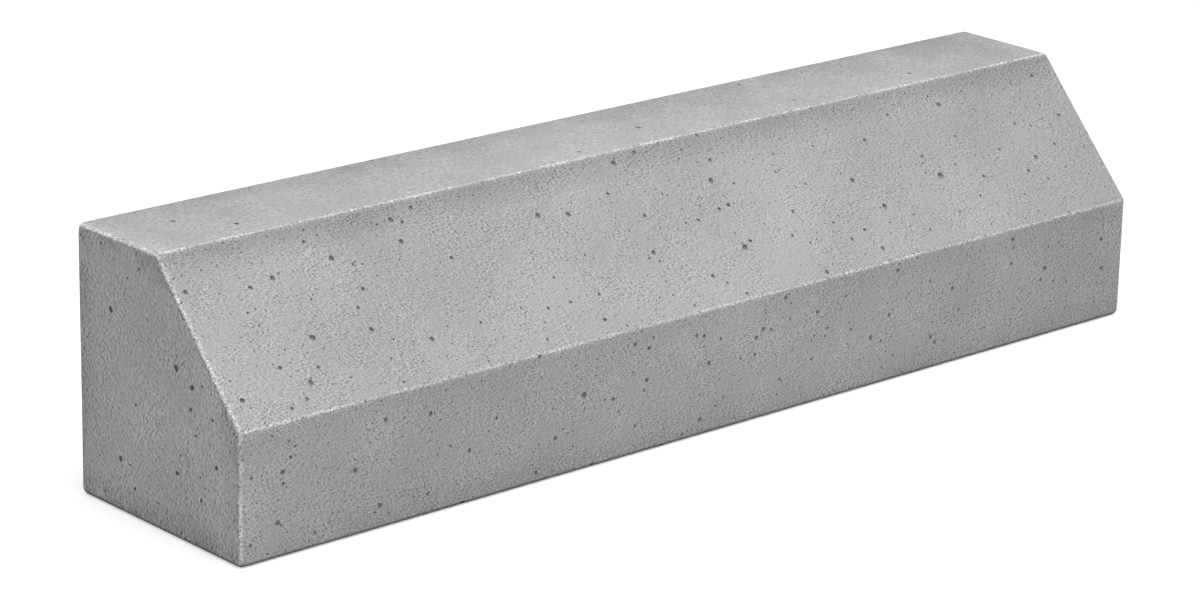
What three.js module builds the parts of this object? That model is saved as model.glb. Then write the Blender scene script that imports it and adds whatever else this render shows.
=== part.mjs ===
// A precast concrete kerb stone with a battered face, one metre long, cast as one piece.
//
// Millimetres, +Z up. X runs along the kerb, the battered face looks towards -Y and the back towards +Y.
// The origin is in the middle of the underside, on the surface that the kerb is bedded on.

import * as THREE from 'three';

// Driving dimensions
const length = 1000; // one unit of the kerb line, end face to end face
const height = 225; // underside to top
const baseWidth = 210; // back face to front face, at the underside
const topWidth = 105; // flat top, back face to the upper arris
const upstand = 110; // plumb part of the front face, below the batter
const arrisRadius = 5; // rounding of the edges that run along the kerb
const endArrisRadius = 4; // rounding of the edges round each end face, smaller than arrisRadius

// Facets
const arrisSteps = 12; // round each lengthwise arris
const endArrisSteps = 5; // round each end arris

// The corners of the section, in order and anticlockwise: x is across the kerb and y is up.
function sectionCorners() {
	const front = - baseWidth / 2;
	const back = baseWidth / 2;

	return [
		new THREE.Vector2( front, 0 ),
		new THREE.Vector2( back, 0 ),
		new THREE.Vector2( back, height ),
		new THREE.Vector2( back - topWidth, height ),
		new THREE.Vector2( front, upstand )
	];
}

// A closed outline through convex corners, each one rounded by an arc that is tangent to both of its sides.
function roundedOutline( corners, radius ) {
	const outline = new THREE.Shape();

	corners.forEach( ( corner, i ) => {
		const towardsPrevious = corners.at( i - 1 ).clone().sub( corner ).normalize();
		const towardsNext = corners[ ( i + 1 ) % corners.length ].clone().sub( corner ).normalize();
		const halfAngle = Math.acos( towardsPrevious.dot( towardsNext ) ) / 2;
		const inwards = towardsPrevious.clone().add( towardsNext ).normalize();
		const centre = corner.clone().addScaledVector( inwards, radius / Math.sin( halfAngle ) );

		// The arc starts square to the side that comes in and ends square to the side that goes out.
		const start = new THREE.Vector2( - towardsPrevious.y, towardsPrevious.x );
		const end = new THREE.Vector2( towardsNext.y, - towardsNext.x );
		outline.absarc( centre.x, centre.y, radius, start.angle(), end.angle() );
	} );

	return outline.closePath();
}

// The section drawn out along the kerb. The bevel rounds the end arrises inside the stated length and section.
function kerbGeometry() {
	const outline = roundedOutline( sectionCorners(), arrisRadius );
	const geometry = new THREE.ExtrudeGeometry( outline, {
		depth: length - 2 * endArrisRadius,
		curveSegments: arrisSteps / 2, // an arc is given twice as many
		bevelEnabled: true,
		bevelThickness: endArrisRadius,
		bevelSize: endArrisRadius,
		bevelOffset: - endArrisRadius,
		bevelSegments: endArrisSteps
	} );

	return geometry.translate( 0, 0, endArrisRadius - length / 2 );
}

const concrete = new THREE.MeshStandardMaterial( {
	name: 'concrete',
	color: 0xa6a6a5,
	roughness: 0.92,
	metalness: 0
} );

const kerbStone = new THREE.Mesh( kerbGeometry(), concrete );
kerbStone.name = 'kerb_stone';

// A third of a turn about the cube's diagonal lays the outline's x, y and depth along Y, Z and X.
kerbStone.quaternion.setFromAxisAngle( new THREE.Vector3( 1, 1, 1 ).normalize(), 2 * Math.PI / 3 );

const kerb = new THREE.Group();
kerb.name = 'kerb';
kerb.add( kerbStone );

export default kerb;
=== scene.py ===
import math

import bmesh
import bpy
from mathutils import Matrix, Vector


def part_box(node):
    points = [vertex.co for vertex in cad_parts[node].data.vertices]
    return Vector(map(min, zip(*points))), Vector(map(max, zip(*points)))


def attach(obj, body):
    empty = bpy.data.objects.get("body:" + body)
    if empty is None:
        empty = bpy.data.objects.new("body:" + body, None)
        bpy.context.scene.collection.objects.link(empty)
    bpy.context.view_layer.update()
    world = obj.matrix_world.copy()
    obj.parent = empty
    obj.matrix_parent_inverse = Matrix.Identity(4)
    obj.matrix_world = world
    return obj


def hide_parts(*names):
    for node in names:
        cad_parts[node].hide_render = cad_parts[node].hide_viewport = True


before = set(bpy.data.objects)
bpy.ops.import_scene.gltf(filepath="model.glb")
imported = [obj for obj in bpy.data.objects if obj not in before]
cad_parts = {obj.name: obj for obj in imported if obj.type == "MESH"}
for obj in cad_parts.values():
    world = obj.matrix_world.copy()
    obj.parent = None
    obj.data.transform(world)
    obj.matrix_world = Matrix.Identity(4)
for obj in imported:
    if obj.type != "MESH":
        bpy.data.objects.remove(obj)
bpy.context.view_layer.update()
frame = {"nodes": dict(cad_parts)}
stoneLow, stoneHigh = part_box("kerb_stone")
mm = 0.001  # sizes are written in millimetres times mm, and the scene is in metres
print("frame loaded with", ", ".join(frame["nodes"]), "in metres", (stoneHigh - stoneLow).to_tuple(3))


# Small helpers for node trees

def addNode(tree, kind, values=None, **settings):
    made = tree.nodes.new(kind)
    for name, setting in settings.items():
        setattr(made, name, setting)
    for name, value in (values or {}).items():
        if isinstance(value, bpy.types.NodeSocket):
            tree.links.new(value, made.inputs[name])
        else:
            made.inputs[name].default_value = value
    return made


def calculate(tree, operation, *terms):
    return addNode(tree, "ShaderNodeMath", dict(enumerate(terms)), operation=operation).outputs[0]


def scaleVector(tree, vector, amount):
    return addNode(tree, "ShaderNodeVectorMath", {0: vector, "Scale": amount}, operation="SCALE").outputs[0]


def remap(tree, value, fromLow, fromHigh, toLow=0.0, toHigh=1.0, curve="LINEAR"):
    values = {"Value": value, "From Min": fromLow, "From Max": fromHigh, "To Min": toLow, "To Max": toHigh}
    return addNode(tree, "ShaderNodeMapRange", values, interpolation_type=curve).outputs["Result"]


def addSocket(tree, name, kind, value=None, isOutput=False):
    direction = "OUTPUT" if isOutput else "INPUT"
    socket = tree.interface.new_socket(name, in_out=direction, socket_type="NodeSocket" + kind)
    if value is not None:
        socket.default_value = value


# The inside ends of a tree's sockets, once all of them have been added
def treeEnds(tree):
    given = addNode(tree, "NodeGroupInput").outputs
    result = addNode(tree, "NodeGroupOutput").inputs
    return given, result


# Camera

cameraView = {
    "azimuth": -42.16,  # degrees, 0 looks along +Y
    "elevation": 18.14,
    "roll": 1.34,
    "distance": 3.383,
    "target": (-0.0449, 0.0, 0.0964),
    "lens": 120.9,
    "sensor": 36.0,
}


def makeCamera():
    azimuth = math.radians(cameraView["azimuth"])
    elevation = math.radians(cameraView["elevation"])
    level = math.cos(elevation)
    back = Vector((math.sin(azimuth) * level, -math.cos(azimuth) * level, math.sin(elevation)))
    upright = back.to_track_quat("Z", "Y").to_matrix()
    turned = Matrix.Rotation(math.radians(cameraView["roll"]), 3, back) @ upright
    data = bpy.data.cameras.new("camera")
    data.lens = cameraView["lens"]
    data.sensor_width = cameraView["sensor"]
    camera = bpy.data.objects.new("camera", data)
    camera.location = Vector(cameraView["target"]) + back * cameraView["distance"]
    camera.rotation_mode = "QUATERNION"
    camera.rotation_quaternion = turned.to_quaternion()
    bpy.context.scene.collection.objects.link(camera)
    bpy.context.scene.camera = camera


# Floor, world and lamp

studio = {
    "floorSize": 40.0,
    "floorColour": 0.76,
    "floorGlow": 0.5,  # for the camera alone, so that the floor is white and still holds the shadow
    "skyLight": 0.55,
    "keyPower": 55.0,
    "keySize": 1.8,
    "keyPlace": (-0.15, -0.75, 3.0),
}


def makeFloor():
    half = studio["floorSize"] / 2
    corners = [(-half, -half, 0), (half, -half, 0), (half, half, 0), (-half, half, 0)]
    mesh = bpy.data.meshes.new("floor")
    mesh.from_pydata(corners, [], [(0, 1, 2, 3)])
    floor = bpy.data.objects.new("floor", mesh)
    bpy.context.scene.collection.objects.link(floor)
    material = bpy.data.materials.new("paleFloor")
    material.use_nodes = True
    tree = material.node_tree
    shader = tree.nodes["Principled BSDF"]
    colour = studio["floorColour"]
    shader.inputs["Base Color"].default_value = (colour, colour, colour, 1)
    shader.inputs["Roughness"].default_value = 1.0
    shader.inputs["Specular IOR Level"].default_value = 0.0
    shader.inputs["Emission Color"].default_value = (1, 1, 1, 1)
    rays = addNode(tree, "ShaderNodeLightPath")
    glow = calculate(tree, "MULTIPLY", rays.outputs["Is Camera Ray"], studio["floorGlow"])
    tree.links.new(glow, shader.inputs["Emission Strength"])
    mesh.materials.append(material)


# The camera sees a white sky, and the kerb is lit by a dimmer one
def makeWorld():
    world = bpy.data.worlds.new("studio")
    world.use_nodes = True
    tree = world.node_tree
    shader = tree.nodes["Background"]
    shader.inputs["Color"].default_value = (1, 1, 1, 1)
    rays = addNode(tree, "ShaderNodeLightPath")
    strength = remap(tree, rays.outputs["Is Camera Ray"], 0.0, 1.0, studio["skyLight"], 1.0)
    tree.links.new(strength, shader.inputs["Strength"])
    bpy.context.scene.world = world


def makeLamp():
    data = bpy.data.lights.new("keyLamp", "AREA")
    data.energy = studio["keyPower"]
    data.size = studio["keySize"]
    lamp = bpy.data.objects.new("keyLamp", data)
    lamp.location = studio["keyPlace"]
    lamp.rotation_mode = "QUATERNION"
    aim = Vector(studio["keyPlace"]) - (stoneLow + stoneHigh) / 2
    lamp.rotation_quaternion = aim.to_track_quat("Z", "Y")
    lamp.visible_camera = False
    bpy.context.scene.collection.objects.link(lamp)


# Concrete finishes. Depths are shares of the colour, and relief is in millimetres. A range is where in
# its noise, or in the wear of an arris, an effect starts and where it is full.

concreteFinish = {
    "turned": (0.5, 0.35, 0.9),  # turns every pattern askew to the faces, in radians
    "colour": (0.425, 0.425, 0.425),
    "shine": 0.3,
    "roughness": (0.84, 0.95),
    "sheenSize": 20 * mm,  # places that are a little less matt
    "sheenRange": (0.3, 0.7),
    "cloudSize": 90 * mm,  # broad mottling
    "cloudDepth": 0.15,
    "footShadeHeight": 4.6 * mm,  # painted shade: a dark line round the foot, where the kerb stands on the floor
    "footShadeFade": 0.6,  # the share of that height below which it is darkest
    "footShadeBrightness": 0.45,
    "topFacing": 0.83,  # a surface that looks up more than this has the top's grain
    "endFacing": 0.7,  # and one that looks along the kerb more than this has the ends' grain
    "sandSize": 1.36 * mm,
    "topDrawn": 2.8,  # how much the sand is drawn out lengthwise on the top
    "endDrawn": 2.0,  # and upwards on the ends, where the mould comes off
    "sideDrawn": 1.2,  # and upwards on the long faces
    "sandDepth": 1.29,
    "sandRelief": 1.9,
    "sandPitting": 0.6,  # how much deeper the hollows between its grains are than the grains are high
    "grainShadeAxis": (-1.1 * mm, -0.75 * mm, -2.6 * mm),  # painted side shading of the sand grains is offset square to this
    "grainShadeDepth": 0.36,  # how dark that painted shading beside each grain is, and how deep in the bump, as a share of the grain's height
    "smoothSize": 32 * mm,  # places where the cement skin covers the sand
    "smoothRange": (0.35, 0.65),
    "smoothDepth": 0.35,
    "baredPale": 0.2,  # how much paler the concrete is where the sand is bare
    "pinholeSpacing": 4.8 * mm,  # pinholes too small to be cut, darkened in the colour as painted shade
    "pinholeWidth": 1.7 * mm,
    "pinholeNarrowest": 0.4,  # as a share of that width
    "pinholeRim": (0.6, 1.1),  # where the side of one starts and ends, as shares of its radius
    "pinholeShadeDepth": 0.6,
    "pinholeSpread": 0.2,  # how much they keep to the faces that have blow holes, from 0 to 1
    "pinholeRelief": 0.6,
    "raggedSize": 1.9 * mm,  # breaks in the pale line along an arris
    "raggedReach": 0.5,  # how far the sides of that line stray
    # how pale the ragged line along an arris is: rubbed cement skin, and in part a painted highlight
    "arrisPaleAndHighlight": 1.0,
    "arrisRange": (0.55, 0.95),
    "breakRange": (0.35, 0.6),  # from broken to whole
    "breakPale": 0.3,  # how pale the line still is at a break
    "nickRange": (0.6, 0.7),  # dark nicks in the line, painted shade of small chips
    "nickArrisRange": (0.5, 0.7),  # and where they lie across the arris
    "nickShadeDepth": 0.4,
    "nickRelief": 0.5,
    "pitShadeBrightness": 0.77,  # painted shade: how bright the inside of a blow hole is, beside the face
    "endPitShadeBrightness": 0.5,  # the same on the ends, painted darker where they are deeper
    "endPitReach": 6 * mm,  # how far in from an end its blow holes go
}


# A place turned askew, and squeezed. Squeezing the place that a pattern is read at draws the pattern out.
def turnPlace(tree, position, squeeze=(1, 1, 1)):
    values = {"Vector": position, "Rotation": concreteFinish["turned"], "Scale": squeeze}
    return addNode(tree, "ShaderNodeMapping", values).outputs[0]


def readNoise(tree, place, size, detail=1.0):
    scale = calculate(tree, "DIVIDE", 1.0, size)
    return addNode(tree, "ShaderNodeTexNoise", {"Vector": place, "Scale": scale, "Detail": detail}).outputs


# The sand, high and low about 0, with painted side shading beside each grain, and pinholes as a mask from 0
# to 1
def makeGrainGroup():
    tree = bpy.data.node_groups.new("castGrain", "ShaderNodeTree")
    addSocket(tree, "Position", "Vector")
    addSocket(tree, "Sand Size", "Float", 0.001)
    addSocket(tree, "Squeeze", "Vector", (1, 1, 1))
    addSocket(tree, "Grain Shade Offset", "Vector")
    addSocket(tree, "Grain Shade Depth", "Float", 0.0)
    addSocket(tree, "Sand Pitting", "Float", 0.0)
    addSocket(tree, "Pinhole Spacing", "Float", 0.005)
    addSocket(tree, "Pinhole Width", "Float", 0.002)
    addSocket(tree, "Sand", "Float", isOutput=True)
    addSocket(tree, "Pinholes", "Float", isOutput=True)
    given, result = treeEnds(tree)

    def readSand(position):
        place = turnPlace(tree, position, given["Squeeze"])
        return calculate(tree, "SUBTRACT", readNoise(tree, place, given["Sand Size"])["Fac"], 0.5)

    # beside each grain, painted side shading in the colour, which is also a hollow in the bump
    moved = {0: given["Position"], 1: given["Grain Shade Offset"]}
    beside = readSand(addNode(tree, "ShaderNodeVectorMath", moved, operation="ADD").outputs[0])
    shadedSide = calculate(tree, "MULTIPLY", beside, given["Grain Shade Depth"])
    sand = calculate(tree, "SUBTRACT", readSand(given["Position"]), shadedSide)
    # hollows deeper than the tops are high, about the same middle level
    square = calculate(tree, "MULTIPLY", sand, sand)
    usualSquare = 0.005  # about what that comes to on average
    extra = calculate(tree, "SUBTRACT", usualSquare, square)
    tree.links.new(calculate(tree, "MULTIPLY_ADD", extra, given["Sand Pitting"], sand), result["Sand"])

    # a round pinhole in the middle of each cell, narrower by chance
    scale = calculate(tree, "DIVIDE", 1.0, given["Pinhole Spacing"])
    place = turnPlace(tree, given["Position"])
    cells = addNode(tree, "ShaderNodeTexVoronoi", {"Vector": place, "Scale": scale}).outputs
    chance = addNode(tree, "ShaderNodeSeparateColor", {"Color": cells["Color"]}).outputs["Red"]
    share = remap(tree, chance, 0.0, 1.0, concreteFinish["pinholeNarrowest"], 1.0)
    width = calculate(tree, "MULTIPLY", share, given["Pinhole Width"])
    radius = calculate(tree, "MULTIPLY", calculate(tree, "MULTIPLY", width, scale), 0.5)
    reach = calculate(tree, "DIVIDE", cells["Distance"], radius)
    pinholes = remap(tree, reach, *concreteFinish["pinholeRim"], 1.0, 0.0, "SMOOTHSTEP")
    tree.links.new(pinholes, result["Pinholes"])
    return tree


# The cement skin: broad clouds from -1 to 1, how bare the sand is, about 1, and sheen from 0 to 1
def makeSkinGroup():
    tree = bpy.data.node_groups.new("castSkin", "ShaderNodeTree")
    addSocket(tree, "Position", "Vector")
    addSocket(tree, "Cloud Size", "Float", 0.1)
    addSocket(tree, "Smooth Size", "Float", 0.03)
    addSocket(tree, "Smooth Depth", "Float", 0.0)
    addSocket(tree, "Sheen Size", "Float", 0.02)
    addSocket(tree, "Clouds", "Float", isOutput=True)
    addSocket(tree, "Bared", "Float", isOutput=True)
    addSocket(tree, "Sheen", "Float", isOutput=True)
    given, result = treeEnds(tree)
    place = turnPlace(tree, given["Position"])

    clouds = calculate(tree, "SUBTRACT", readNoise(tree, place, given["Cloud Size"])["Fac"], 0.5)
    tree.links.new(calculate(tree, "MULTIPLY", clouds, 2.0), result["Clouds"])

    covered = readNoise(tree, place, given["Smooth Size"])["Fac"]
    least = calculate(tree, "SUBTRACT", 1.0, given["Smooth Depth"])
    most = calculate(tree, "ADD", 1.0, given["Smooth Depth"])
    bared = remap(tree, covered, *concreteFinish["smoothRange"], least, most)
    tree.links.new(bared, result["Bared"])

    sheen = readNoise(tree, place, given["Sheen Size"], 3.0)["Fac"]
    tree.links.new(remap(tree, sheen, *concreteFinish["sheenRange"]), result["Sheen"])
    return tree


# Along an arris the cement skin is rubbed pale in a ragged line, which in part is a painted highlight, with
# dark nicks in it, painted shade in small chips
def makeArrisMarkGroup():
    tree = bpy.data.node_groups.new("arrisWearAndPaintedLight", "ShaderNodeTree")
    addSocket(tree, "Position", "Vector")
    addSocket(tree, "Arris", "Float", 0.0)
    addSocket(tree, "Ragged Size", "Float", 0.002)
    addSocket(tree, "Ragged Reach", "Float", 0.0)
    addSocket(tree, "Pale And Highlight", "Float", isOutput=True)
    addSocket(tree, "Nicks", "Float", isOutput=True)
    given, result = treeEnds(tree)
    noise = readNoise(tree, turnPlace(tree, given["Position"]), given["Ragged Size"])["Color"]
    ragged = addNode(tree, "ShaderNodeSeparateColor", {"Color": noise}).outputs

    away = calculate(tree, "SUBTRACT", ragged["Red"], 0.5)
    strayed = calculate(tree, "MULTIPLY_ADD", away, given["Ragged Reach"], given["Arris"])
    line = remap(tree, strayed, *concreteFinish["arrisRange"], curve="SMOOTHSTEP")
    breaks = remap(tree, ragged["Green"], *concreteFinish["breakRange"], concreteFinish["breakPale"], 1.0)
    tree.links.new(calculate(tree, "MULTIPLY", line, breaks), result["Pale And Highlight"])

    nicks = remap(tree, ragged["Blue"], *concreteFinish["nickRange"], curve="SMOOTHSTEP")
    onArris = remap(tree, given["Arris"], *concreteFinish["nickArrisRange"])
    tree.links.new(calculate(tree, "MULTIPLY", nicks, onArris), result["Nicks"])
    return tree


def readAttribute(tree, name):
    return addNode(tree, "ShaderNodeAttribute", attribute_name=name).outputs["Fac"]


# The three groups placed in one material, with its own values
def placeGroups(tree, groups, position, normal):
    finish = concreteFinish
    looks = addNode(tree, "ShaderNodeSeparateXYZ", {"Vector": normal}).outputs
    onTop = calculate(tree, "GREATER_THAN", looks["Z"], finish["topFacing"])
    onEnd = calculate(tree, "GREATER_THAN", calculate(tree, "ABSOLUTE", looks["X"]), finish["endFacing"])
    squeeze = addNode(tree, "ShaderNodeCombineXYZ", {
        "X": remap(tree, onTop, 0.0, 1.0, 1.0, 1 / finish["topDrawn"]),
        "Y": 1.0,
        "Z": remap(tree, onEnd, 0.0, 1.0, 1 / finish["sideDrawn"], 1 / finish["endDrawn"]),
    }).outputs[0]
    # the offset of that painted shading lies in the plane of every face, and the top has none
    grainShadeValues = {0: normal, 1: finish["grainShadeAxis"]}
    grainShadeOffset = addNode(tree, "ShaderNodeVectorMath", grainShadeValues, operation="CROSS_PRODUCT").outputs[0]

    def placeGroup(group, values):
        return addNode(tree, "ShaderNodeGroup", {"Position": position, **values}, node_tree=group).outputs

    skin = placeGroup(groups["skin"], {
        "Cloud Size": finish["cloudSize"],
        "Smooth Size": finish["smoothSize"],
        "Smooth Depth": finish["smoothDepth"],
        "Sheen Size": finish["sheenSize"],
    })
    grain = placeGroup(groups["grain"], {
        "Sand Size": finish["sandSize"],
        "Squeeze": squeeze,
        "Grain Shade Offset": grainShadeOffset,
        "Grain Shade Depth": remap(tree, onTop, 0.0, 1.0, finish["grainShadeDepth"], 0.0),
        "Sand Pitting": finish["sandPitting"],
        "Pinhole Spacing": finish["pinholeSpacing"],
        "Pinhole Width": finish["pinholeWidth"],
    })
    arrisMarks = placeGroup(groups["arrisMarks"], {
        "Arris": readAttribute(tree, "arris"),
        "Ragged Size": finish["raggedSize"],
        "Ragged Reach": finish["raggedReach"],
    })
    return skin, grain, arrisMarks


# Brightness is that of the whole material, lowered as painted shade for the inside of the blow holes, and
# the second one is for what lies just inside an end
def makeConcrete(name, groups, shadedBrightness, endShadedBrightness):
    finish = concreteFinish
    material = bpy.data.materials.new(name)
    material.use_nodes = True
    tree = material.node_tree
    shader = tree.nodes["Principled BSDF"]
    shader.inputs["Specular IOR Level"].default_value = finish["shine"]
    coordinates = addNode(tree, "ShaderNodeTexCoord").outputs
    position = coordinates["Object"]
    skin, grain, arrisMarks = placeGroups(tree, groups, position, coordinates["Normal"])
    bared, nicks = skin["Bared"], arrisMarks["Nicks"]
    coarseness = calculate(tree, "MULTIPLY", readAttribute(tree, "grain"), bared)
    sand = calculate(tree, "MULTIPLY", grain["Sand"], coarseness)
    # the rubbed line along the arrises, in part a painted highlight
    paleAndHighlight = calculate(tree, "MULTIPLY", arrisMarks["Pale And Highlight"], bared)
    # where blow holes are few, pinholes are only fainter
    strength = calculate(tree, "POWER", readAttribute(tree, "pits"), finish["pinholeSpread"])
    pinholes = calculate(tree, "MULTIPLY", grain["Pinholes"], strength)

    # first all that adds to the tone, and then all that takes a share of it
    tone = readAttribute(tree, "tone")
    barer = calculate(tree, "SUBTRACT", bared, 1.0)
    added = {"cloudDepth": skin["Clouds"], "baredPale": barer, "sandDepth": sand, "arrisPaleAndHighlight": paleAndHighlight}
    for depth, pattern in added.items():
        tone = calculate(tree, "MULTIPLY_ADD", pattern, finish[depth], tone)
    # painted shade in the pinholes and nicks
    for depth, hollow in {"pinholeShadeDepth": pinholes, "nickShadeDepth": nicks}.items():
        shade = calculate(tree, "MULTIPLY_ADD", hollow, -finish[depth], 1.0)
        tone = calculate(tree, "MULTIPLY", tone, shade)
    places = addNode(tree, "ShaderNodeSeparateXYZ", {"Vector": position}).outputs
    # painted shade along the foot, where the kerb meets the floor
    footShadeHeight = finish["footShadeHeight"]
    darkest = footShadeHeight * finish["footShadeFade"]
    footShade = remap(tree, places["Z"], darkest, footShadeHeight, finish["footShadeBrightness"], 1.0)
    tone = calculate(tree, "MULTIPLY", tone, footShade)
    # painted shade inside the blow holes, darker still just inside an end
    along = calculate(tree, "ABSOLUTE", places["X"])
    nearEnd = stoneHigh.x - finish["endPitReach"]
    shadedLevel = remap(tree, along, nearEnd, nearEnd + mm, shadedBrightness, endShadedBrightness)
    tone = calculate(tree, "MULTIPLY", tone, shadedLevel)
    tree.links.new(scaleVector(tree, finish["colour"], tone), shader.inputs["Base Color"])
    roughness = remap(tree, skin["Sheen"], 0.0, 1.0, *finish["roughness"])
    tree.links.new(roughness, shader.inputs["Roughness"])

    height = calculate(tree, "MULTIPLY", sand, finish["sandRelief"])
    for relief, hollow in {"pinholeRelief": pinholes, "nickRelief": nicks}.items():
        height = calculate(tree, "MULTIPLY_ADD", hollow, -finish[relief], height)
    bump = addNode(tree, "ShaderNodeBump", {"Distance": mm, "Height": height})
    tree.links.new(bump.outputs["Normal"], shader.inputs["Normal"])
    return material


# The cast body: its section drawn along the kerb in rings, with fine steps round every arris

castBody = {
    "topWidth": 105 * mm,  # flat top, back face to the upper arris
    "upstand": 110 * mm,  # plumb part of the front face, below the batter
    "arrisRadius": 5 * mm,
    "endArrisRadius": 4 * mm,
    "arrisSteps": 7,
    "endArrisSteps": 6,
    "ringStep": 2 * mm,
    "margin": 3 * mm,  # flat strip beside each arris
    "capMargin": 0.6 * mm,  # the same on an end face, inside its rounded corners
    "wornReach": 6 * mm,  # how far from the middle of an arris its wear goes
    "sideWear": 0.88,  # how worn the lengthwise arrises are beside those at the ends
    "arrisFade": 0.7,  # how much of the change from face to face lies on the arris between them
    "cornerGrowth": 2.0 * mm,  # how much wider the lengthwise arrises get towards their ends
    "cornerReach": 10 * mm,
    "edgeBand": 26 * mm,  # the strip along each side of a face where its painted light and shade change
    "endBand": 30 * mm,  # the same on the long faces, beside the ends
    "endArrisFall": 4,  # how fast the painted highlight beside an end arris falls off, 1 is evenly
    "lengthTones": (1.01, 0.99, 1.02, 1.01, 0.93),  # from end to end, evenly spaced
}

# Each face's coarseness of grain, its painted light and shade at four places from one side to the other (at
# the side, a band's width in from it, the same before the far side, and there), its painted light and shade
# beside the ends, the painted highlight that the arris at each end adds to that, and its share of blow
# holes.
# The faces run round the section, from the front of the underside.
castFaces = {
    "underside": {"grain": 1.2, "tones": (0.7, 0.8, 0.8, 0.7), "ends": (1.0, 0.0), "pits": 0.3},
    "back": {"grain": 0.9, "tones": (0.95, 1.0, 1.0, 0.97), "ends": (1.0, 0.3), "pits": 0.6},
    "top": {"grain": 0.72, "tones": (0.92, 0.99, 1.08, 1.11), "ends": (1.1, 0.5), "pits": 0.14},
    "batter": {"grain": 0.9, "tones": (0.86, 1.1, 1.15, 1.15), "ends": (1.02, 0.8), "pits": 0.8},
    "front": {"grain": 0.97, "tones": (1.01, 1.07, 1.05, 0.96), "ends": (1.05, 0.0), "pits": 1.2},
    "end": {"grain": 1.15, "tones": (0.86, 1.11, 1.11, 0.86), "ends": (1.0, 0.0), "pits": 0.65},
}


def sectionCorners():
    front, back, height = stoneLow.y, stoneHigh.y, stoneHigh.z
    return [
        Vector((front, 0)),
        Vector((back, 0)),
        Vector((back, height)),
        Vector((back - castBody["topWidth"], height)),
        Vector((front, castBody["upstand"])),
    ]


# All that a face has, with its painted light and shade at one of its four places, as one value to blend
# from face to face
def faceQuality(name, place):
    face = castFaces[name]
    return Vector((face["grain"], face["tones"][place], *face["ends"], face["pits"]))


# The tone that the whole section has at a place along the kerb
def lengthTone(along):
    tones = castBody["lengthTones"]
    share = (along - stoneLow.x) / (stoneHigh.x - stoneLow.x) * (len(tones) - 1)
    first = min(int(share), len(tones) - 2)
    return tones[first] + (tones[first + 1] - tones[first]) * (share - first)


# The points of the rounded section, each with its distance from the middle of its arris and its quality
def sectionPoints(inset, widening):
    corners = sectionCorners()
    faces = list(castFaces)
    radius = castBody["arrisRadius"] + widening
    margin, steps = castBody["margin"], castBody["arrisSteps"]
    band, reach = castBody["edgeBand"], castBody["wornReach"]
    points = []
    for i, corner in enumerate(corners):
        towardsPrevious = (corners[i - 1] - corner).normalized()
        towardsNext = (corners[(i + 1) % len(corners)] - corner).normalized()
        halfAngle = towardsPrevious.angle(towardsNext) / 2
        inwards = (towardsPrevious + towardsNext).normalized()
        centre = corner + inwards * radius / math.sin(halfAngle)
        nameBefore, nameAfter = faces[(i - 1) % len(corners)], faces[i]
        before, after = faceQuality(nameBefore, 3), faceQuality(nameAfter, 0)
        sweep = math.pi - 2 * halfAngle
        start = math.atan2(towardsPrevious.x, -towardsPrevious.y)
        halfArc = radius * sweep / 2
        arc = []
        for step in range(steps + 1):
            across = step / steps
            turn = start + sweep * across
            place = centre + Vector((math.cos(turn), math.sin(turn))) * (radius - inset)
            quality = before.lerp(after, across * castBody["arrisFade"])
            arc.append((place, halfArc * abs(2 * across - 1), quality))
        first, last = arc[0][0], arc[-1][0]
        points.append((first + towardsPrevious * band, reach, faceQuality(nameBefore, 2)))
        points.append((first + towardsPrevious * margin, halfArc + margin, before))
        points += arc
        points.append((last + towardsNext * margin, halfArc + margin, after))
        points.append((last + towardsNext * band, reach, faceQuality(nameAfter, 1)))
    return points


# The rings of the body, each with its place along the kerb, the inset of its outline, its distance from
# the middle of the end arris, and how far round that arris it has turned on to the end face
def ringPlaces():
    radius, steps = castBody["endArrisRadius"], castBody["endArrisSteps"]
    margin = castBody["margin"]
    far = castBody["wornReach"]
    nearEnd = [(0.0, radius + castBody["capMargin"], far, 1.0)]
    for step in range(steps + 1):
        turn = math.pi / 2 * step / steps
        place, inset = radius * (1 - math.cos(turn)), radius * (1 - math.sin(turn))
        nearEnd.append((place, inset, radius * abs(turn - math.pi / 4), 1 - step / steps))
    plain = stoneHigh.x - stoneLow.x - 2 * (radius + margin)
    count = round(plain / castBody["ringStep"])
    rings = [(stoneLow.x + place, *rest) for place, *rest in nearEnd]
    rings += [(stoneLow.x + radius + margin + plain * i / count, 0.0, far, 0.0) for i in range(count + 1)]
    rings += [(stoneHigh.x - place, *rest) for place, *rest in reversed(nearEnd)]
    return rings


# An end face, cut a band's width in from each of its sides so that its painted light and shade can change
# there
def makeEndFace(build, ring, tone):
    cap = build.faces.new(ring)
    corners = sectionCorners()
    geometry = [cap, *cap.edges, *cap.verts]
    for i, corner in enumerate(corners):
        side = (corners[(i + 1) % len(corners)] - corner).normalized()
        inwards = Vector((0, -side.y, side.x))
        place = Vector((ring[0].co.x, corner.x, corner.y)) + inwards * castBody["edgeBand"]
        cut = bmesh.ops.bisect_plane(build, geom=geometry, plane_co=place, plane_no=inwards)
        geometry = cut["geom"]
    rim = set(ring)
    for part in geometry:
        if isinstance(part, bmesh.types.BMVert) and part not in rim:
            part[tone] = castFaces["end"]["tones"][1]


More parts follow.
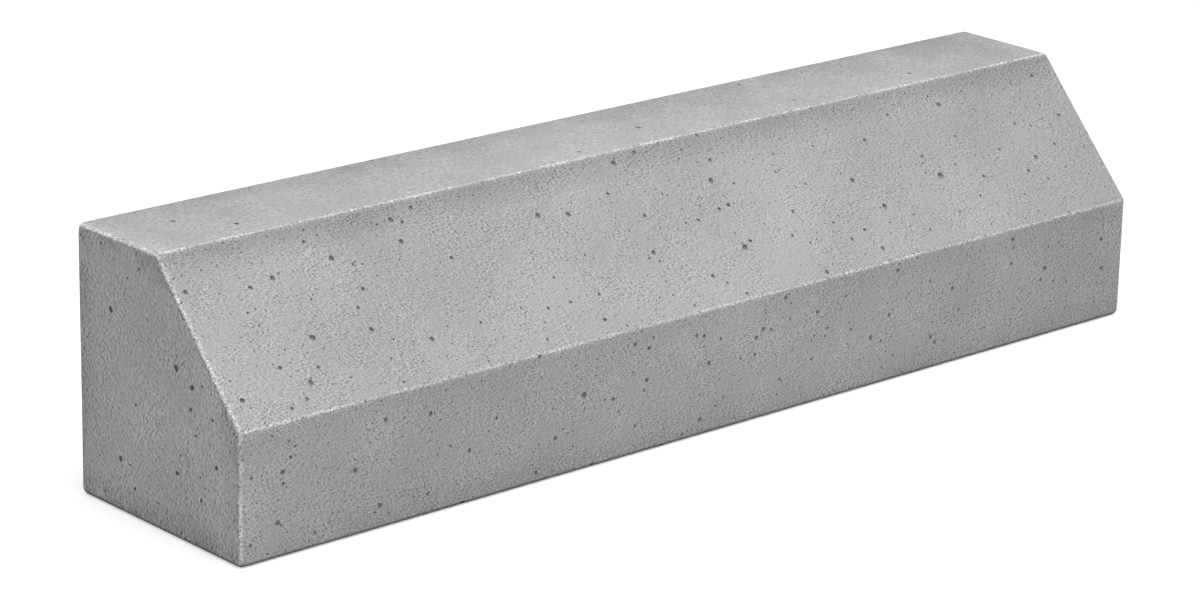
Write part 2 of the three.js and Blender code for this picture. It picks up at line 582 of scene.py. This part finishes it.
def makeCastBody():
    build = bmesh.new()
    layers = build.verts.layers.float
    arris, grain, tone, pits = [layers.new(name) for name in ("arris", "grain", "tone", "pits")]
    end = faceQuality("end", 0)
    reach = castBody["wornReach"]
    rings = []
    for along, inset, endGap, turned in ringPlaces():
        fromEnd = stoneHigh.x - abs(along)
        besideEnd = max(0.0, 1 - fromEnd / castBody["endBand"])
        onEndArris = max(0.0, 1 - endGap / reach) ** castBody["endArrisFall"] * (1 - turned)
        widening = castBody["cornerGrowth"] * max(0.0, 1 - fromEnd / castBody["cornerReach"]) ** 2
        ring = []
        for place, gap, quality in sectionPoints(inset, widening):
            vertex = build.verts.new((along, place.x, place.y))
            sideWear = castBody["sideWear"] * (1 - min(1.0, gap / reach + turned))
            vertex[arris] = max(sideWear, 1 - endGap / reach)
            vertex[grain], paintedSideShading, paintedShadingBesideEnd, paintedArrisHighlight, vertex[pits] = quality.lerp(end, turned)
            vertex[pits] *= min(1.0, endGap / reach)
            # painted highlight on the faces beside each end arris
            paintedSideShading += paintedArrisHighlight * onEndArris
            # painted light and shade of each face and beside the ends, times the tone along the kerb
            vertex[tone] = paintedSideShading * (1 + (paintedShadingBesideEnd - 1) * besideEnd) * lengthTone(along)
            ring.append(vertex)
        rings.append(ring)
    for ring, nextRing in zip(rings, rings[1:]):
        for i in range(len(ring)):
            build.faces.new((ring[i - 1], ring[i], nextRing[i], nextRing[i - 1]))
    makeEndFace(build, rings[0][::-1], tone)
    makeEndFace(build, rings[-1], tone)
    mesh = bpy.data.meshes.new("castBody")
    build.to_mesh(mesh)
    build.free()
    body = bpy.data.objects.new("castBody", mesh)
    bpy.context.scene.collection.objects.link(body)
    print("body built in", len(rings), "rings of", len(rings[0]), "points")
    return body


# Blow holes

# The largest ones, each with its place along the kerb from the middle, its place across the face and
# its width, in millimetres. Across runs up the face, or on the top from the back towards the front. On
# the end, the first place is from the middle towards the back.
largePits = {
    "top": [(30, 65, 5), (-440, 45, 5), (-405, 80, 5), (345, 80, 4)],
    "batter": [
        (300, 65, 6), (50, 45, 6), (-400, 60, 5.5), (200, 80, 5), (-350, 120, 5), (220, 50, 5),
        (-485, 25, 5), (-410, 115, 5), (50, 110, 5), (420, 60, 5), (-140, 115, 5), (-420, 25, 5),
        (-295, 35, 4.5), (-345, 55, 4.5), (-110, 110, 4.5), (-45, 60, 4.5), (-490, 120, 4.5),
        (-280, 120, 5), (-280, 140, 4.5), (-40, 145, 5), (55, 85, 4.5), (340, 130, 4.5),
    ],
    "front": [
        (-155, 65, 5.5), (175, 45, 5), (395, 65, 5), (-465, 30, 5), (350, 100, 5), (205, 100, 4.5),
        (-25, 15, 4.5), (45, 80, 4.5), (275, 70, 4.5), (-390, 55, 4.5), (-365, 20, 4.5),
        (-315, 85, 4), (-275, 45, 4), (-205, 10, 4), (-185, 35, 4), (-460, 70, 4.5), (-360, 90, 4.5),
        (250, 30, 4.5),
    ],
    "end": [(-25, 140, 5.5), (50, 45, 5), (-45, 130, 5), (60, 165, 5), (-25, 55, 4.5)],
}


# Where a face's places start, which ways along and across run, and which way the face looks
def faceFrames():
    front, back, height = stoneLow.y, stoneHigh.y, stoneHigh.z
    upstand = castBody["upstand"]
    arrisY = back - castBody["topWidth"]
    upBatter = Vector((0, arrisY - front, height - upstand)).normalized()
    along = Vector((1, 0, 0))
    return {
        "top": (Vector((0, back, height)), along, Vector((0, -1, 0)), Vector((0, 0, 1))),
        "batter": (Vector((0, front, upstand)), along, upBatter, along.cross(upBatter)),
        "front": (Vector((0, front, 0)), along, Vector((0, 0, 1)), Vector((0, -1, 0))),
        "end": (Vector((stoneLow.x, 0, 0)), Vector((0, 1, 0)), Vector((0, 0, 1)), Vector((-1, 0, 0))),
    }


def makeLargePits():
    build = bmesh.new()
    width = build.verts.layers.float.new("width")
    facing = build.verts.layers.float_vector.new("facing")
    frames = faceFrames()
    for face, pits in largePits.items():
        origin, along, across, outwards = frames[face]
        for alongPlace, acrossPlace, size in pits:
            vertex = build.verts.new(origin + along * alongPlace * mm + across * acrossPlace * mm)
            vertex[width] = size * mm
            vertex[facing] = outwards
    mesh = bpy.data.meshes.new("largePits")
    build.to_mesh(mesh)
    build.free()
    pits = bpy.data.objects.new("largePits", mesh)
    bpy.context.scene.collection.objects.link(pits)
    return pits


# The sizes and counts of the scattered ones, which are the inputs of the tree that cuts them
blowHoles = {
    "Density": 2400.0,  # a square metre
    "Smallest": 1.3 * mm,
    "Largest": 4.2 * mm,
    "Growth": 0.8 * mm,  # how much wider than the smallest they are on average
    "Spacing": 4.0 * mm,
    "Fine Width": 2.0 * mm,  # narrower cutters have fewer facets
    "Fine Sunk": 0.1,  # how far a cutter's middle lies under the face, as a share of its width
    "Coarse Sunk": 0.05,
    "Large Sunk": 0.0,
    "Nick Density": 20000.0,  # a square metre, where the wear of an arris is past Nicks Full
    "Nicks Start": 0.5,  # that wear goes from 0 at the sides of an arris to 1 in its middle
    "Nicks Full": 0.8,
    "Nick Smallest": 0.7 * mm,
    "Nick Largest": 1.7 * mm,
    "Nick Growth": 0.3 * mm,
    "Wear Depth": 0.4 * mm,  # how far back an arris is rubbed
    "Wear Start": 0.4,  # in the same wear
    "Wear Full": 0.9,
    "Wear Size": 4.0 * mm,
    "Wear Noise Start": 0.4,  # in the noise that makes the rubbing uneven
    "Wear Noise Full": 0.7,
    "Weld": 0.02 * mm,  # points closer than this are made one
    "Crease": math.radians(33),
    "Seed": 7,
}

# The shape of a cutter, for a ball one unit wide
cutterShape = {
    "lumps": 3,  # how many different balls there are to pick from
    "lumpScale": 2.2,
    "lumpStep": 3.7,  # how far apart in the noise the balls are, so that they differ
    "lumpHeight": 0.05,
    "lumpRange": (0.3, 0.7),
    "narrowest": (0.92, 0.86, 0.9),  # across, the other way across, and deep
    "widest": (1.12, 1.0, 1.1),
    "steps": {"fine": 1, "nick": 1, "coarse": 2, "large": 3},  # how often its facets are divided
    "stored": {"hollow": 1.0, "grain": 0.6, "tone": 1.0},  # what the inside of a pit has
}

# Each draw by chance has a seed of its own, this much past the main one. Fine and coarse cutters share
# one, since they share their points.
seedSteps = {
    "nicks": 3,
    "widths": 11,
    "nickWidths": 12,
    "cutters": 21,
    "nickCutters": 22,
    "largeCutters": 23,
}


def storeOnCorners(tree, geometry, name, value):
    stored = {"Geometry": geometry, "Name": name, "Value": value}
    return addNode(tree, "GeometryNodeStoreNamedAttribute", stored, domain="CORNER").outputs[0]


def readStored(tree, name, kind="FLOAT"):
    named = addNode(tree, "GeometryNodeInputNamedAttribute", {"Name": name}, data_type=kind)
    return named.outputs["Attribute"]


def paint(tree, geometry, material, chosen=True):
    values = {"Geometry": geometry, "Selection": chosen, "Material": material}
    return addNode(tree, "GeometryNodeSetMaterial", values).outputs[0]


def stepSeed(tree, given, draw):
    return calculate(tree, "ADD", given["Seed"], seedSteps[draw])


# The node's sockets go by number, since it has a least and a most for each kind of value
def pickByChance(tree, kind, least, most, seed):
    first, output = {"FLOAT": (2, 1), "INT": (4, 2), "FLOAT_VECTOR": (0, 0)}[kind]
    values = {first: least, first + 1: most, "Seed": seed}
    return addNode(tree, "FunctionNodeRandomValue", values, data_type=kind).outputs[output]


# Lumpy balls, each one an instance to pick from
def makeBalls(tree, given):
    shape = cutterShape
    ballValues = {"Radius": 0.5, "Subdivisions": given["Steps"]}
    ball = addNode(tree, "GeometryNodeMeshIcoSphere", ballValues).outputs["Mesh"]
    normal = addNode(tree, "GeometryNodeInputNormal").outputs["Normal"]
    balls = addNode(tree, "GeometryNodeJoinGeometry")
    for lump in range(shape["lumps"]):
        noiseValues = {"W": shape["lumpStep"] * lump, "Scale": shape["lumpScale"], "Detail": 1.0}
        noise = addNode(tree, "ShaderNodeTexNoise", noiseValues, noise_dimensions="4D").outputs["Fac"]
        swell = remap(tree, noise, *shape["lumpRange"], -shape["lumpHeight"], shape["lumpHeight"])
        lumpyValues = {"Geometry": ball, "Offset": scaleVector(tree, normal, swell)}
        lumpy = addNode(tree, "GeometryNodeSetPosition", lumpyValues).outputs[0]
        for name, value in shape["stored"].items():
            lumpy = storeOnCorners(tree, lumpy, name, value)
        lumpy = paint(tree, lumpy, given["Shaded Pit Finish"])
        wrapped = addNode(tree, "GeometryNodeGeometryToInstance", {0: lumpy})
        tree.links.new(wrapped.outputs[0], balls.inputs[0])
    return balls.outputs[0]


# Cutters for one set of pits: lumpy balls, a little sunk, each turned and stretched by chance
def makeCutterGroup():
    tree = bpy.data.node_groups.new("pitCutters", "GeometryNodeTree")
    addSocket(tree, "Points", "Geometry")
    addSocket(tree, "Chosen", "Bool", True)
    addSocket(tree, "Facing", "Rotation")
    addSocket(tree, "Width", "Float", 0.002)
    addSocket(tree, "Sunk", "Float", 0.12)
    addSocket(tree, "Steps", "Int", 2)
    addSocket(tree, "Seed", "Int", 0)
    addSocket(tree, "Shaded Pit Finish", "Material")
    addSocket(tree, "Cutters", "Geometry", isOutput=True)
    given, result = treeEnds(tree)

    seed = given["Seed"]
    pick = pickByChance(tree, "INT", 0, cutterShape["lumps"] - 1, seed)
    turn = pickByChance(tree, "FLOAT", 0.0, 2 * math.pi, seed)
    stretch = pickByChance(tree, "FLOAT_VECTOR", cutterShape["narrowest"], cutterShape["widest"], seed)
    spin = addNode(tree, "FunctionNodeAxisAngleToRotation", {"Angle": turn}).outputs[0]
    spun = {0: given["Facing"], 1: spin}
    rotation = addNode(tree, "FunctionNodeRotateRotation", spun, rotation_space="LOCAL").outputs[0]
    placed = addNode(tree, "GeometryNodeInstanceOnPoints", {
        "Points": given["Points"],
        "Selection": given["Chosen"],
        "Instance": makeBalls(tree, given),
        "Pick Instance": True,
        "Instance Index": pick,
        "Rotation": rotation,
        "Scale": scaleVector(tree, stretch, given["Width"]),
    }).outputs[0]
    depth = calculate(tree, "MULTIPLY", given["Sunk"], -1.0)
    sinking = addNode(tree, "ShaderNodeCombineXYZ", {"Z": depth}).outputs[0]
    sunkValues = {"Instances": placed, "Translation": sinking, "Local Space": True}
    sunk = addNode(tree, "GeometryNodeTranslateInstances", sunkValues).outputs[0]
    tree.links.new(sunk, result["Cutters"])
    return tree


# The body with its arrises rubbed back unevenly, never outwards
def wearArrises(tree, given):
    scale = calculate(tree, "DIVIDE", 1.0, given["Wear Size"])
    noise = addNode(tree, "ShaderNodeTexNoise", {"Scale": scale, "Detail": 2.0}).outputs["Fac"]
    uneven = remap(tree, noise, given["Wear Noise Start"], given["Wear Noise Full"])
    onArris = remap(tree, readStored(tree, "arris"), given["Wear Start"], given["Wear Full"])
    share = calculate(tree, "MULTIPLY", uneven, onArris)
    depth = calculate(tree, "MULTIPLY", share, calculate(tree, "MULTIPLY", given["Wear Depth"], -1.0))
    normal = addNode(tree, "GeometryNodeInputNormal").outputs["Normal"]
    wornValues = {"Geometry": given["Geometry"], "Offset": scaleVector(tree, normal, depth)}
    worn = addNode(tree, "GeometryNodeSetPosition", wornValues).outputs[0]
    # cutting keeps what is stored on face corners, and loses what is stored on points
    for name in ("arris", "grain", "tone", "pits"):
        worn = storeOnCorners(tree, worn, name, readStored(tree, name))
    return worn


# Many narrow ones, and fewer and fewer wider ones
def chooseWidth(tree, seed, smallest, largest, growth):
    leastChance = 0.001  # just over 0, which has no logarithm
    chance = pickByChance(tree, "FLOAT", leastChance, 1.0, seed)
    rarity = calculate(tree, "MULTIPLY", calculate(tree, "LOGARITHM", chance, math.e), -1.0)
    width = calculate(tree, "MULTIPLY_ADD", rarity, growth, smallest)
    return calculate(tree, "MINIMUM", width, largest)


# The cutters of the scattered pits, of the nicks in the arrises and of the largest pits
def makeAllCutters(tree, given, worn):
    cutterGroup = makeCutterGroup()
    ballSteps = cutterShape["steps"]

    def makeCutters(points, facing, width, sunk, steps, draw, chosen=True):
        return addNode(tree, "GeometryNodeGroup", {
            "Points": points,
            "Chosen": chosen,
            "Facing": facing,
            "Width": width,
            "Sunk": sunk,
            "Steps": steps,
            "Seed": stepSeed(tree, given, draw),
            "Shaded Pit Finish": given["Shaded Pit Finish"],
        }, node_tree=cutterGroup).outputs["Cutters"]

    scatter = addNode(tree, "GeometryNodeDistributePointsOnFaces", {
        "Mesh": worn,
        "Distance Min": given["Spacing"],
        "Density Max": given["Density"],
        "Density Factor": readStored(tree, "pits"),
        "Seed": given["Seed"],
    }, distribute_method="POISSON").outputs
    points, facing = scatter["Points"], scatter["Rotation"]
    smallest, largest, growth = given["Smallest"], given["Largest"], given["Growth"]
    width = chooseWidth(tree, stepSeed(tree, given, "widths"), smallest, largest, growth)
    fine = calculate(tree, "LESS_THAN", width, given["Fine Width"])
    coarse = calculate(tree, "SUBTRACT", 1.0, fine)
    fineSunk, coarseSunk, largeSunk = given["Fine Sunk"], given["Coarse Sunk"], given["Large Sunk"]
    fineCutters = makeCutters(points, facing, width, fineSunk, ballSteps["fine"], "cutters", fine)
    coarseCutters = makeCutters(points, facing, width, coarseSunk, ballSteps["coarse"], "cutters", coarse)

    onArris = remap(tree, readStored(tree, "arris"), given["Nicks Start"], given["Nicks Full"])
    nicks = addNode(tree, "GeometryNodeDistributePointsOnFaces", {
        "Mesh": worn,
        "Density": calculate(tree, "MULTIPLY", onArris, given["Nick Density"]),
        "Seed": stepSeed(tree, given, "nicks"),
    }, distribute_method="RANDOM").outputs
    points, facing = nicks["Points"], nicks["Rotation"]
    smallest, largest, growth = given["Nick Smallest"], given["Nick Largest"], given["Nick Growth"]
    width = chooseWidth(tree, stepSeed(tree, given, "nickWidths"), smallest, largest, growth)
    nickCutters = makeCutters(points, facing, width, fineSunk, ballSteps["nick"], "nickCutters")

    chosen = addNode(tree, "GeometryNodeObjectInfo", {"Object": given["Large Pits"]}).outputs["Geometry"]
    points = addNode(tree, "GeometryNodeMeshToPoints", {"Mesh": chosen}).outputs[0]
    outwards = {"Vector": readStored(tree, "facing", "FLOAT_VECTOR")}
    facing = addNode(tree, "FunctionNodeAlignRotationToVector", outwards, axis="Z").outputs[0]
    width = readStored(tree, "width")
    largeCutters = makeCutters(points, facing, width, largeSunk, ballSteps["large"], "largeCutters")
    return fineCutters, coarseCutters, nickCutters, largeCutters


def makePitTree():
    tree = bpy.data.node_groups.new("blowHoles", "GeometryNodeTree")
    addSocket(tree, "Geometry", "Geometry")
    addSocket(tree, "Large Pits", "Object")
    for name in blowHoles:
        addSocket(tree, name, "Int" if name == "Seed" else "Float")
    addSocket(tree, "Face Finish", "Material")
    addSocket(tree, "Shaded Pit Finish", "Material")
    addSocket(tree, "Geometry", "Geometry", isOutput=True)
    given, result = treeEnds(tree)

    worn = wearArrises(tree, given)
    cutValues = {"Mesh 1": worn}
    cut = addNode(tree, "GeometryNodeMeshBoolean", cutValues, operation="DIFFERENCE", solver="MANIFOLD")
    for cutters in makeAllCutters(tree, given, worn):
        tree.links.new(cutters, cut.inputs["Mesh 2"])
    weldValues = {"Geometry": cut.outputs["Mesh"], "Distance": given["Weld"]}
    welded = addNode(tree, "GeometryNodeMergeByDistance", weldValues).outputs[0]

    # smooth inside the pits and round the arrises, crisp at the rims
    smooth = addNode(tree, "GeometryNodeSetShadeSmooth", {"Geometry": welded}, domain="FACE").outputs[0]
    angle = addNode(tree, "GeometryNodeInputMeshEdgeAngle").outputs["Unsigned Angle"]
    sharp = calculate(tree, "GREATER_THAN", angle, given["Crease"])
    creaseValues = {"Geometry": smooth, "Selection": sharp, "Shade Smooth": False}
    creased = addNode(tree, "GeometryNodeSetShadeSmooth", creaseValues, domain="EDGE").outputs[0]

    realized = addNode(tree, "GeometryNodeRealizeInstances", {"Geometry": creased}).outputs[0]
    faced = paint(tree, realized, given["Face Finish"])
    inPit = calculate(tree, "GREATER_THAN", readStored(tree, "hollow"), 0.5)
    tree.links.new(paint(tree, faced, given["Shaded Pit Finish"], inPit), result["Geometry"])
    return tree


def setModifierInputs(modifier, values):
    for item in modifier.node_group.interface.items_tree:
        if item.item_type == "SOCKET" and item.in_out == "INPUT" and item.name in values:
            modifier[item.identifier] = values[item.name]


# The weld folds a few slivers flat, each into two faces back to back on the same points
def removeFlatSlivers(mesh):
    build = bmesh.new()
    build.from_mesh(mesh)
    bmesh.ops.triangulate(build, faces=build.faces)
    facesOn = {}
    for face in build.faces:
        facesOn.setdefault(frozenset(face.verts), []).append(face)
    flat = [face for faces in facesOn.values() if len(faces) > 1 for face in faces]
    bmesh.ops.delete(build, geom=flat, context="FACES")
    build.to_mesh(mesh)
    build.free()


def makeKerbStone():
    groups = {"grain": makeGrainGroup(), "skin": makeSkinGroup(), "arrisMarks": makeArrisMarkGroup()}
    pitShadeBrightness, endPitShadeBrightness = concreteFinish["pitShadeBrightness"], concreteFinish["endPitShadeBrightness"]
    faceFinish = makeConcrete("castConcrete", groups, 1.0, 1.0)
    # a darker copy of the concrete, painted shade for the inside of the blow holes
    shadedPitFinish = makeConcrete("shadedPitConcrete", groups, pitShadeBrightness, endPitShadeBrightness)
    print("concrete finishes ready")
    body = makeCastBody()
    body.data.materials.append(faceFinish)
    pits = makeLargePits()
    modifier = body.modifiers.new("blowHoles", "NODES")
    modifier.node_group = makePitTree()
    finishes = {"Large Pits": pits, "Face Finish": faceFinish, "Shaded Pit Finish": shadedPitFinish}
    setModifierInputs(modifier, {**blowHoles, **finishes})
    evaluated = body.evaluated_get(bpy.context.evaluated_depsgraph_get())
    mesh = bpy.data.meshes.new_from_object(evaluated)
    removeFlatSlivers(mesh)
    stone = bpy.data.objects.new("kerb_stone_cast", mesh)
    bpy.context.scene.collection.objects.link(stone)
    bpy.data.objects.remove(body)
    bpy.data.objects.remove(pits)
    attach(stone, "root")
    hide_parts("kerb_stone")
    mesh.calc_loop_triangles()
    print("kerb stone cast and pitted,", len(mesh.loop_triangles), "triangles")


bpy.context.scene.view_settings.view_transform = "Standard"
makeCamera()
makeFloor()
makeWorld()
makeLamp()
print("camera and studio ready")
makeKerbStone()
